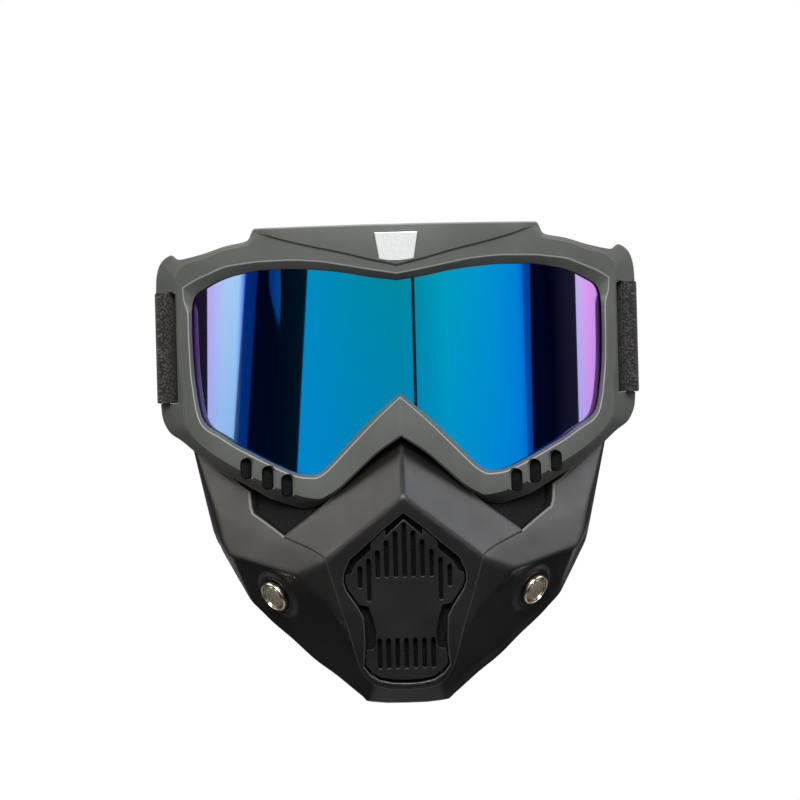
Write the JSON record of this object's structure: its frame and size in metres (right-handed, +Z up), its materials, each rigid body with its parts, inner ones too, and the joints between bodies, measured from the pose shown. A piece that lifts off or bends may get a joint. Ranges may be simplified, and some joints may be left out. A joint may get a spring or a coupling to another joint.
{
  "type": "goggle mask with face guard",
  "caption": "Wrap goggles with a mirrored lens, moulded frame, foam seat and elastic head strap, joined to a hard face guard with a slotted vent over the mouth.",
  "frame": {"origin": "on the middle plane, where the foam's back edge meets the brow, at the height of the strap's middle", "axes": "+X to the wearer's left, +Y back to the wearer's head, +Z up"},
  "size_m": [0.1836, 0.2478, 0.1758],
  "materials": {
    "frame_rubber": "matt moulded rubber-like plastic, dark grey",
    "lens_mirror": "blue-green iridium-style mirror on polycarbonate",
    "badge_metal": "fine satin silver, bare",
    "seat_foam": "open-cell foam, black",
    "strap_elastic": "woven elastic webbing, black",
    "guard_plastic": "satin injection-moulded plastic, black",
    "grille_plastic": "satin injection-moulded plastic, black",
    "liner_foam": "open-cell filter foam, black",
    "rivet_nickel": "nickel plate with a matt blasted centre"
  },
  "bodies": {
    "root": {"goggle_frame": "frame_rubber", "lens": "lens_mirror", "brow_badge": "badge_metal", "face_foam": "seat_foam", "head_strap": "strap_elastic", "face_guard": "guard_plastic", "vent_grille": "grille_plastic", "guard_liner": "liner_foam", "rivet_left": "rivet_nickel", "rivet_right": "rivet_nickel"}
  },
  "joints": []
}
